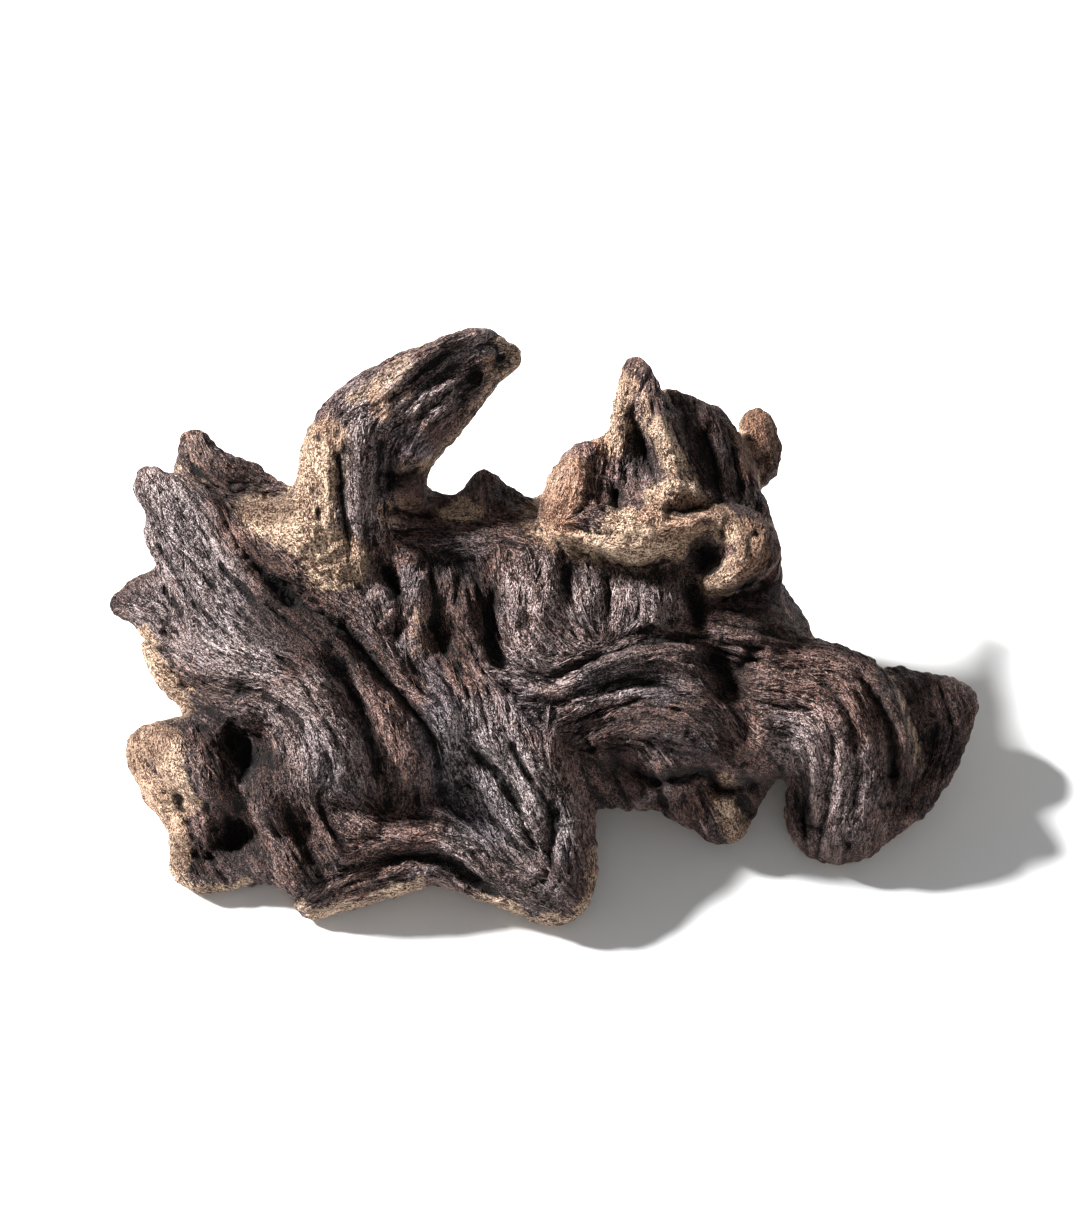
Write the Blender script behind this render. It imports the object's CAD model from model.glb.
"""The looks of a mopani root: one gnarled piece of weathered root wood on a pale floor.

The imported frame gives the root's form. This script lays a finer skin over that form, cuts
the creases, fibres and pits of the wood into it, paints its tones point by point, and
lights it from the upper left. Lengths are in millimetres on the leaning face, where u runs
to the right, v runs up the face and w stands out of it towards the eye.
"""

from __future__ import annotations

import logging
import math
from dataclasses import dataclass, field
from enum import Enum
from typing import ClassVar

import bmesh
import bpy
import numpy as np
from mathutils import Matrix, Vector
from mathutils.bvhtree import BVHTree

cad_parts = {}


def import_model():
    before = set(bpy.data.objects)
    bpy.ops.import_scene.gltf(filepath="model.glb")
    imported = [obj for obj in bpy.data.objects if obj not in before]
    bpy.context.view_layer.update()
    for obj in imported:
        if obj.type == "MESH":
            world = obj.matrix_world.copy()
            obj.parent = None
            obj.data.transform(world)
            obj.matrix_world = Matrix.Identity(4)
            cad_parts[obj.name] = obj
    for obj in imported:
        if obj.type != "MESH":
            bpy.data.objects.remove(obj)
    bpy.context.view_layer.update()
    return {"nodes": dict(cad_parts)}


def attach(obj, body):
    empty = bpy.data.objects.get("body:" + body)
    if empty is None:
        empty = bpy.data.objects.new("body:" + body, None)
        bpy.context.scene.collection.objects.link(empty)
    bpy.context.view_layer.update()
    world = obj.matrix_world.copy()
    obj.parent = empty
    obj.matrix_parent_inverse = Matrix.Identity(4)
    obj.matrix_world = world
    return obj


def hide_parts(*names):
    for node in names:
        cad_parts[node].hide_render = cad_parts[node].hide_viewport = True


LOG = logging.getLogger("mopani_root")
MM = 0.001

Path = tuple[tuple[float, float], ...]
Span = tuple[float, float]
Colour = tuple[float, float, float, float]


@dataclass(frozen=True)
class Stroke:
    """A line on the seen face that raises, sinks or tints what it passes over."""

    amount: float
    width: float
    path: Path


def strokes(*rows: tuple) -> tuple[Stroke, ...]:
    """Reads strokes.

    Args:
        rows: For each stroke its amount, its width and then the points (u, v) of its path.

    Returns:
        The strokes.
    """
    return tuple(Stroke(amount, width, tuple(path)) for amount, width, *path in rows)


@dataclass(frozen=True)
class Grain:
    """Streaks along the fibres, with the seed that they are drawn from."""

    width: float
    length: float
    seed: int
    height: float = 1.0


@dataclass(frozen=True)
class Blobs:
    """Smooth random lumps in space, the same each run."""

    SIDE: ClassVar[int] = 32

    cell: float
    seed: int
    height: float = 1.0

    def at(self, points: np.ndarray) -> np.ndarray:
        """Reads the lumps.

        Args:
            points: Points in space, one row each.

        Returns:
            A value for each point, from minus to plus the lumps' height.
        """
        values = np.random.default_rng(self.seed).uniform(-1.0, 1.0, (self.SIDE,) * 3)
        scaled = points / self.cell
        low = np.floor(scaled).astype(int)
        part = scaled - low
        part = part * part * (3 - 2 * part)
        low %= self.SIDE
        high = (low + 1) % self.SIDE
        total = np.zeros(len(points))
        for corner in range(8):
            weight = np.ones(len(points))
            index = []
            for axis in range(3):
                far = (corner >> axis) & 1
                index.append((high if far else low)[:, axis])
                weight *= part[:, axis] if far else 1 - part[:, axis]
            total += weight * values[tuple(index)]
        return self.height * total


def clouds(blobs: tuple[Blobs, ...], points: np.ndarray) -> np.ndarray:
    """Adds up the values of several sets of blobs at points in space."""
    return sum(each.at(points) for each in blobs)


# Lines that the fibres follow, each as points (u, v).
FIBRE_LINES: tuple[Path, ...] = (
    ((-162, 212), (-150, 190), (-135, 175), (-105, 152), (-80, 127), (-55, 102), (-50, 72)),
    ((-194, 212), (-180, 182), (-162, 157), (-140, 132), (-120, 117), (-100, 95), (-92, 75)),
    ((-205, 160), (-188, 152), (-172, 138), (-145, 127), (-120, 122), (-105, 110), (-97, 95)),
    ((-197, 205), (-193, 190), (-185, 170), (-178, 155)),
    ((-160, 122), (-145, 124), (-125, 115), (-110, 98), (-106, 80), (-110, 65)),
    ((-150, 112), (-138, 110), (-125, 98), (-122, 80)),
    ((-105, 142), (-90, 125), (-78, 107), (-70, 90), (-67, 72), (-70, 60)),
    ((-200, 95), (-190, 78), (-180, 60), (-170, 45), (-160, 33)),
    ((-175, 90), (-172, 75), (-166, 55), (-158, 40)),
    ((-142, 75), (-138, 55), (-128, 35), (-115, 15)),
    ((-120, 65), (-112, 45), (-102, 28)),
    ((-105, 60), (-90, 50), (-75, 42)),
    ((-120, 8), (-100, 22), (-75, 32), (-55, 37), (-40, 30), (-25, 18), (-5, 8)),
    ((-95, 40), (-70, 44), (-52, 45), (-36, 38), (-20, 25), (0, 15)),
    ((-45, 110), (-40, 90), (-30, 65), (-15, 42), (5, 25)),
    ((-20, 112), (-15, 90), (-5, 65), (5, 45), (10, 30)),
    ((5, 110), (5, 90), (10, 70), (18, 50), (22, 30)),
    ((-20, 128), (5, 122), (25, 130), (42, 138), (60, 143), (78, 142)),
    ((-5, 112), (15, 112), (30, 120), (48, 128), (65, 130), (80, 125), (92, 112), (100, 100)),
    ((0, 98), (18, 100), (35, 108), (55, 112), (75, 110), (92, 102)),
    ((38, 95), (55, 98), (75, 95), (92, 85), (108, 72)),
    ((50, 90), (58, 78), (62, 66)),
    ((88, 80), (90, 66), (96, 50)),
    ((-62, 175), (-66, 155), (-60, 132), (-48, 118)),
    ((-45, 175), (-40, 150), (-32, 132)),
    ((-20, 185), (-18, 160), (-12, 140), (0, 128)),
    ((0, 190), (5, 165), (12, 148), (25, 138)),
    ((35, 185), (35, 165), (35, 148)),
    ((60, 182), (60, 165), (62, 150)),
    ((82, 158), (100, 152), (115, 148)),
    ((-72, 202), (-50, 199), (-25, 197), (0, 193)),
    ((108, 135), (125, 132), (145, 130), (160, 122), (170, 105), (173, 85), (170, 62)),
    ((110, 118), (128, 118), (145, 112), (155, 98), (158, 80), (155, 60), (152, 40)),
    ((118, 100), (132, 98), (140, 85), (140, 65), (138, 42)),
    ((165, 128), (178, 112), (185, 95), (190, 80), (192, 62)),
    ((200, 112), (205, 98), (200, 82), (190, 68)),
    ((-98, 245), (-97, 215), (-95, 190)),
    ((-80, 240), (-82, 215), (-84, 190)),
    ((-92, 258), (-70, 275), (-50, 288), (-30, 298)),
    ((-70, 250), (-52, 268), (-30, 282), (-12, 285)),
    ((-28, 225), (-28, 205)),
    ((20, 238), (18, 218), (12, 205)),
    ((15, 200), (35, 195), (60, 190), (80, 195)),
    ((112, 205), (108, 188), (98, 176), (88, 172)),
    ((48, 278), (42, 255), (38, 240)),
    ((58, 262), (64, 240), (68, 222)),
    ((75, 250), (82, 230), (88, 212)),
    ((92, 245), (98, 222), (102, 200)),
    ((108, 252), (108, 235)),
    ((-178, 240), (-168, 222), (-150, 215), (-130, 212)),
)

# Sharp creases and thin ridges, with amount in millimetres: negative cuts in.
CREASES = strokes(
    (-4.5, 2.6, (-163, 213), (-152, 191), (-137, 175), (-118, 160), (-101, 150), (-88, 136), (-76, 121),
                (-66, 110), (-56, 97), (-50, 83), (-49, 68)),
    (1.8, 2.6, (-156, 180), (-140, 167), (-122, 153), (-106, 143), (-95, 133), (-84, 120)),
    (-2.0, 2.2, (-192, 205), (-184, 188), (-174, 172), (-168, 160)),
    (-2.2, 2.4, (-183, 203), (-171, 186), (-160, 171), (-149, 158)),
    (-1.6, 2.0, (-177, 208), (-164, 192), (-152, 180)),
    (-2.6, 2.4, (-203, 163), (-193, 158), (-183, 148), (-176, 139)),
    (-2.2, 2.2, (-204, 157), (-194, 150), (-185, 141), (-179, 131)),
    (-3.5, 3.0, (-190, 171), (-182, 158), (-174, 150)),
    (-2.6, 2.6, (-160, 117), (-145, 118), (-130, 111), (-119, 99), (-114, 85)),
    (-2.4, 2.4, (-156, 128), (-138, 127), (-120, 118), (-107, 103), (-101, 86), (-102, 70)),
    (-2.2, 2.2, (-135, 134), (-118, 127), (-104, 116), (-95, 102)),
    (-3.6, 2.8, (-107, 138), (-97, 122), (-88, 104), (-83, 86), (-82, 66)),
    (-2.4, 2.2, (-98, 141), (-86, 124), (-76, 106), (-71, 88), (-71, 72)),
    (1.6, 2.4, (-101, 139), (-90, 122), (-80, 104), (-76, 84)),
    (-2.2, 2.2, (-142, 103), (-132, 99), (-127, 88), (-127, 78)),
    (-2.0, 4.0, (-158, 92), (-150, 86), (-141, 80)),
    (-2.6, 1.8, (-198, 200), (-186, 184), (-172, 168), (-158, 154), (-146, 146)),
    (-2.6, 1.8, (-194, 196), (-184, 178), (-170, 160), (-156, 146), (-142, 138)),
    (-2.6, 1.8, (-188, 200), (-176, 184), (-162, 168), (-148, 154), (-132, 144)),
    (-2.6, 1.8, (-172, 196), (-160, 180), (-146, 166), (-130, 154), (-116, 142)),
    (-2.6, 1.8, (-180, 172), (-168, 156), (-154, 144)),
    (-2.6, 1.8, (-140, 164), (-124, 150), (-110, 136), (-98, 120)),
    (-2.6, 1.8, (-148, 146), (-132, 136), (-118, 122), (-110, 104)),
    (-3.0, 3.0, (-178, 84), (-171, 66), (-163, 50), (-158, 36)),
    (-2.0, 2.4, (-190, 84), (-183, 67), (-176, 52)),
    (-3.0, 2.4, (-176, 38), (-168, 33), (-158, 35)),
    (-2.6, 2.4, (-140, 66), (-132, 47), (-122, 27), (-114, 13)),
    (-2.2, 2.2, (-124, 65), (-115, 46), (-104, 29)),
    (-2.0, 2.2, (-112, 62), (-104, 48), (-94, 37)),
    (-3.0, 2.4, (-100, 25), (-82, 30), (-66, 34), (-54, 34), (-43, 29), (-30, 20), (-14, 13), (0, 9)),
    (-2.4, 2.0, (-92, 34), (-72, 38), (-55, 39), (-42, 33), (-28, 24), (-10, 15)),
    (-2.6, 2.2, (-66, 33), (-58, 31), (-49, 32), (-42, 35)),
    (-3.0, 2.4, (-40, 94), (-30, 82), (-18, 71), (-10, 58), (-3, 40), (0, 26)),
    (-2.0, 2.4, (-50, 62), (-38, 52), (-24, 40), (-8, 26)),
    (-3.2, 2.6, (3, 66), (6, 48), (6, 32), (2, 22), (-8, 20)),
    (-2.2, 2.2, (12, 62), (15, 42), (13, 26), (4, 14)),
    (-2.0, 2.2, (-22, 98), (-10, 84), (-2, 68)),
    (-2.4, 2.6, (-18, 118), (-12, 116), (-7, 118)),
    (-2.4, 1.8, (-10, 128), (2, 124), (12, 127), (24, 132), (40, 137), (57, 141), (78, 142)),
    (-2.4, 2.0, (28, 126), (44, 132), (60, 135), (76, 132)),
    (-2.0, 1.8, (36, 123), (52, 127), (68, 125), (80, 117)),
    (-3.0, 2.4, (12, 98), (24, 104), (36, 112), (52, 117), (70, 116), (86, 110)),
    (-2.2, 2.0, (40, 107), (56, 109), (72, 107), (88, 100)),
    (-2.6, 2.4, (52, 94), (66, 97), (82, 93), (95, 85), (106, 74)),
    (-3.0, 2.4, (20, 97), (27, 85), (32, 72)),
    (-3.4, 2.6, (48, 84), (50, 72), (53, 62)),
    (-3.0, 2.2, (68, 80), (72, 72), (79, 70), (84, 76), (92, 79), (100, 72)),
    (-2.4, 2.4, (102, 84), (99, 76), (103, 68)),
    (-2.4, 2.4, (88, 62), (90, 54), (92, 46)),
    (-5.5, 3.0, (-76, 178), (-71, 170), (-67, 163)),
    (2.4, 2.6, (-81, 186), (-84, 176), (-79, 166), (-71, 157)),
    (-3.0, 2.6, (-62, 163), (-67, 148), (-64, 132), (-56, 122)),
    (-1.5, 2.4, (-50, 166), (-52, 152), (-49, 138)),
    (-2.4, 2.4, (-31, 172), (-27, 156), (-23, 140), (-18, 130)),
    (-2.4, 2.4, (-40, 174), (-43, 160), (-42, 146), (-38, 134)),
    (-2.4, 2.0, (-72, 207), (-58, 203), (-40, 200), (-22, 198), (-6, 192)),
    (-2.2, 2.0, (-74, 195), (-60, 198), (-44, 193), (-34, 186)),
    (-2.0, 2.2, (-5, 188), (0, 176), (2, 162)),
    (-1.6, 2.0, (12, 182), (13, 172), (16, 160)),
    (-1.8, 2.2, (32, 176), (35, 164), (33, 152)),
    (-1.4, 1.8, (48, 174), (50, 162), (47, 150)),
    (-4.0, 3.0, (70, 174), (75, 164), (79, 152)),
    (-2.2, 1.8, (82, 152), (96, 149), (112, 145)),
    (-2.0, 1.8, (86, 143), (100, 140), (116, 140)),
    (-2.2, 2.0, (92, 133), (104, 128), (118, 124)),
    (-3.4, 2.4, (152, 134), (163, 122), (171, 108), (175, 92), (175, 74), (172, 58)),
    (-2.6, 2.2, (140, 132), (153, 124), (162, 110), (166, 92), (165, 72), (162, 52)),
    (-2.4, 2.2, (124, 126), (140, 121), (151, 110), (156, 94), (155, 74), (152, 50)),
    (-2.2, 2.0, (118, 112), (132, 109), (143, 101), (147, 86), (146, 66), (143, 44)),
    (-2.0, 2.0, (122, 96), (132, 92), (135, 78), (134, 58)),
    (2.0, 2.2, (162, 127), (174, 113), (182, 97), (184, 84), (190, 77)),
    (-2.6, 2.2, (172, 122), (182, 107), (190, 92), (192, 78)),
    (-3.0, 2.6, (150, 56), (152, 44), (158, 38)),
    (-2.6, 2.4, (160, 58), (172, 60), (186, 60)),
    (-3.6, 2.6, (-102, 244), (-100, 228), (-99, 212), (-97, 196), (-92, 182)),
    (1.8, 2.4, (-97, 240), (-95, 224), (-94, 208), (-92, 194)),
    (-2.4, 2.2, (-88, 242), (-87, 224), (-87, 206), (-86, 190)),
    (-2.6, 2.2, (-72, 246), (-74, 230), (-78, 214), (-80, 200)),
    (-2.8, 2.2, (-90, 256), (-78, 262), (-68, 268), (-56, 280), (-42, 289), (-30, 294)),
    (-2.6, 2.2, (-76, 255), (-64, 262), (-52, 272), (-38, 283), (-26, 288)),
    (-2.6, 2.4, (-62, 252), (-52, 260), (-42, 270), (-32, 276)),
    (-3.0, 2.6, (-24, 292), (-20, 284), (-24, 276)),
    (-2.4, 2.4, (-118, 240), (-108, 246), (-96, 248)),
    (-2.4, 2.2, (27, 236), (27, 224), (25, 210)),
    (-3.4, 2.6, (36, 224), (37, 214), (40, 206)),
    (-2.4, 2.2, (-2, 199), (10, 193), (28, 185), (48, 180), (66, 182), (76, 188)),
    (-2.4, 2.4, (44, 260), (49, 246), (54, 234), (58, 222)),
    (-3.0, 2.6, (55, 266), (57, 254), (60, 244)),
    (-3.4, 2.8, (70, 256), (73, 242), (76, 228)),
    (-2.8, 2.6, (82, 250), (86, 236), (90, 220)),
    (-2.6, 2.4, (94, 244), (98, 228), (102, 212)),
    (-3.0, 2.4, (60, 209), (70, 206), (80, 209), (92, 212), (104, 208)),
    (-5.0, 3.6, (78, 190), (84, 184), (89, 178)),
    (-2.0, 2.0, (100, 198), (106, 190), (104, 182)),
    (-3.0, 2.6, (100, 236), (108, 232), (117, 234)),
    (-2.4, 2.4, (-178, 232), (-168, 224), (-158, 214)),
    (-2.4, 2.4, (-160, 226), (-148, 221), (-134, 216)),
)

# Broad ridges, knobs and hollows, with amount in millimetres.
FORMS = strokes(
    (-5.5, 3.6, (-102, 151), (-89, 138), (-77, 123), (-67, 112), (-57, 98), (-51, 84), (-50, 68)),
    (3.0, 4.0, (-96, 156), (-84, 144), (-73, 132), (-62, 117), (-50, 103), (-43, 90)),
    (-5.0, 3.2, (-105, 137), (-94, 118), (-87, 100), (-82, 82), (-81, 64)),
    (3.0, 4.0, (-97, 138), (-84, 121), (-75, 101), (-70, 80), (-72, 64)),
    (4.0, 6.0, (-93, 203), (-92, 181), (-82, 167), (-75, 157)),
    (3.5, 4.5, (-77, 156), (-73, 152)),
    (-9.0, 3.0, (-80, 182), (-73, 169), (-67, 163)),
    (3.5, 3.6, (-72, 183), (-65, 172), (-67, 166)),
    (3.0, 4.0, (-86, 203), (-70, 204), (-54, 200)),
    (-4.0, 6.5, (-56, 190), (-38, 181), (-26, 168), (-26, 139)),
    (4.5, 4.0, (-58, 172), (-67, 156), (-67, 140), (-59, 126)),
    (-3.0, 5.5, (-53, 158), (-50, 139), (-49, 129)),
    (3.5, 5.0, (-46, 164), (-44, 150), (-41, 131)),
    (3.0, 3.2, (-31, 152), (-30, 131)),
    (-4.0, 2.4, (-23, 170), (-24, 145)),
    (-6.5, 2.8, (-66, 165), (-71, 152), (-72, 142)),
    (2.5, 2.4, (-17, 167), (-11, 162), (-11, 154), (-16, 149)),
    (-6.0, 9.0, (85, 140), (93, 126), (100, 112)),
    (-5.0, 5.0, (34, 94), (38, 82), (34, 70)),
    (-4.0, 3.0, (118, 80), (116, 66), (118, 52)),
    (3.5, 4.0, (124, 78), (122, 62), (126, 46), (136, 38)),
    (-4.0, 3.0, (130, 76), (130, 60), (136, 50), (146, 46)),
    (2.8, 6.0, (22, 128), (44, 134), (64, 132), (80, 121), (92, 108)),
    (-2.4, 2.2, (8, 112), (24, 118), (40, 122), (56, 122), (72, 116)),
    (2.2, 3.0, (10, 106), (28, 112), (46, 116), (62, 115)),
    (4.0, 6.0, (24, 108), (46, 114), (66, 115), (84, 108), (98, 97)),
    (8.0, 4.2, (48, 98), (68, 95), (86, 87), (98, 78), (112, 74)),
    (-9.0, 2.8, (40, 81), (52, 75), (62, 72), (74, 76), (84, 77), (89, 68), (98, 68), (110, 70)),
    (-5.0, 2.8, (57, 74), (60, 66), (62, 57)),
    (4.0, 4.0, (44, 74), (50, 66), (54, 60)),
    (4.0, 5.0, (72, 66), (80, 56), (88, 48)),
    (5.0, 4.0, (84, 70), (88, 60), (94, 50)),
    (-4.0, 3.0, (79, 66), (82, 56), (86, 50)),
    (-5.0, 3.0, (98, 66), (103, 58), (104, 50)),
    (-4.0, 5.0, (28, 118), (44, 123), (58, 121)),
    (2.0, 5.0, (50, 179), (56, 164), (61, 148)),
    (2.0, 6.0, (22, 180), (24, 164), (26, 150)),
    (-1.5, 5.0, (14, 182), (13, 164)),
    (-5.0, 4.5, (74, 174), (79, 156), (80, 146)),
    (3.0, 4.0, (-82, 266), (-70, 277), (-55, 288), (-37, 297), (-22, 291)),
    (-1.6, 3.2, (-66, 266), (-50, 274), (-36, 280)),
    (3.5, 3.0, (-80, 232), (-66, 231), (-55, 240), (-45, 253)),
    (-6.0, 3.0, (-80, 226), (-68, 225), (-58, 229)),
    (-4.0, 4.4, (-70, 240), (-61, 248), (-58, 258)),
    (3.5, 3.0, (-82, 268), (-76, 257), (-77, 245)),
    (-4.5, 3.2, (-28, 282), (-33, 273), (-39, 263), (-47, 257)),
    (3.0, 3.0, (-52, 264), (-42, 272), (-38, 282)),
    (3.0, 4.0, (-80, 214), (-72, 217), (-64, 214)),
    (3.0, 6.0, (-70, 251), (-56, 248), (-43, 255), (-33, 265)),
    (-4.0, 3.0, (-77, 248), (-80, 228), (-82, 208)),
    (-4.5, 2.8, (-99, 250), (-97, 228), (-97, 204), (-94, 183)),
    (3.0, 4.0, (-90, 252), (-88, 230), (-88, 206), (-90, 190)),
    (-3.0, 5.0, (-118, 228), (-112, 214), (-108, 200)),
    (3.0, 7.0, (-132, 206), (-118, 199), (-106, 188)),
    (-3.5, 3.6, (38, 218), (39, 207)),
    (-4.5, 6.0, (47, 250), (51, 236), (58, 221)),
    (4.5, 4.5, (59, 262), (61, 246), (69, 236), (66, 225)),
    (3.0, 3.0, (66, 256), (69, 252)),
    (-4.0, 4.0, (78, 252), (82, 236), (88, 214)),
    (3.0, 4.0, (44, 272), (38, 256), (36, 244)),
    (4.0, 5.0, (58, 218), (67, 221), (77, 214), (88, 208)),
    (-5.5, 2.6, (60, 208), (71, 206), (83, 210)),
    (4.0, 3.0, (66, 200), (76, 200), (86, 205), (96, 205)),
    (4.0, 6.0, (92, 200), (100, 194), (102, 184), (96, 176)),
    (-7.0, 3.4, (86, 161), (96, 165), (107, 170), (118, 171)),
    (4.0, 3.4, (64, 216), (72, 218), (82, 211)),
    (-5.0, 2.4, (38, 219), (39, 206)),
    (3.0, 5.0, (12, 196), (30, 190), (50, 185), (64, 187)),
    (-9.0, 5.6, (73, 190), (80, 188), (84, 181), (80, 174)),
    (-3.0, 2.6, (106, 197), (110, 194)),
    (-5.0, 5.0, (-162, 99), (-150, 93), (-139, 84), (-128, 78)),
    (-4.0, 4.0, (-146, 84), (-148, 70), (-142, 60)),
    (-4.0, 4.5, (-168, 42), (-156, 40), (-142, 47)),
    (-3.0, 3.0, (-152, 66), (-151, 48), (-156, 32)),
    (-4.0, 3.0, (-181, 98), (-174, 100), (-165, 98)),
    (3.5, 4.5, (-172, 84), (-167, 64), (-162, 44)),
    (3.0, 5.0, (-186, 90), (-188, 76), (-182, 62)),
    (-4.0, 4.0, (156, 133), (167, 118), (175, 100), (177, 80), (176, 62)),
    (3.5, 3.4, (161, 130), (175, 113), (183, 96), (184, 84), (191, 78)),
    (-3.5, 3.2, (130, 124), (146, 117), (156, 102), (160, 82), (158, 56)),
    (3.0, 3.6, (140, 127), (156, 116), (166, 98), (168, 76), (166, 56)),
    (-3.5, 4.0, (132, 70), (133, 52), (134, 38)),
    (-4.0, 4.0, (104, 140), (106, 130)),
    (3.0, 4.0, (-10, 62), (-4, 46), (0, 30), (-8, 20)),
    (3.0, 3.0, (10, 58), (10, 40), (8, 28)),
    (-3.5, 3.6, (4, 64), (6, 46), (4, 30)),
    (-4.0, 3.0, (-98, 26), (-76, 34), (-57, 36), (-44, 31), (-30, 21), (-14, 14)),
    (3.0, 4.0, (-92, 36), (-72, 42), (-54, 43), (-38, 35), (-24, 24), (-6, 14)),
    (-3.5, 3.4, (-130, 68), (-121, 47), (-110, 27)),
    (3.0, 4.0, (-142, 70), (-134, 50), (-124, 30), (-114, 15)),
    (-4.0, 3.4, (-40, 94), (-29, 83), (-16, 71), (-9, 56)),
    (-3.0, 10.0, (-42, 88), (-38, 64)),
)


# Places where the fibres are felted and their ridges low, with amount from 0 to 1.
SOFT_PLACES = strokes(
    (0.75, 15, (-14, 178), (6, 168), (28, 164), (52, 164), (74, 166)),
    (0.6, 12, (-10, 150), (14, 146), (40, 150)),
    (0.55, 15, (-46, 96), (-36, 76), (-24, 56)),
    (0.5, 9, (-44, 186), (-56, 190), (-36, 182)),
    (0.4, 14, (-176, 186), (-156, 160), (-140, 144)),
)


class Tone(Enum):
    """The tones that the wood is painted with, by the name of their point attribute."""

    TAN = "tan"
    RED = "red_brown"
    BLUE = "blue_grey"
    PALE = "bleached"
    DARK = "stained"


# What each point of the skin, and of the loose fibres on it, tells the material.
SURFACE_VALUES = (*(tone.value for tone in Tone), "cut", "furrow", "hollow", "deep_hollow")
RUN_VALUES = ("streak", "fibre_run")

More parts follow.
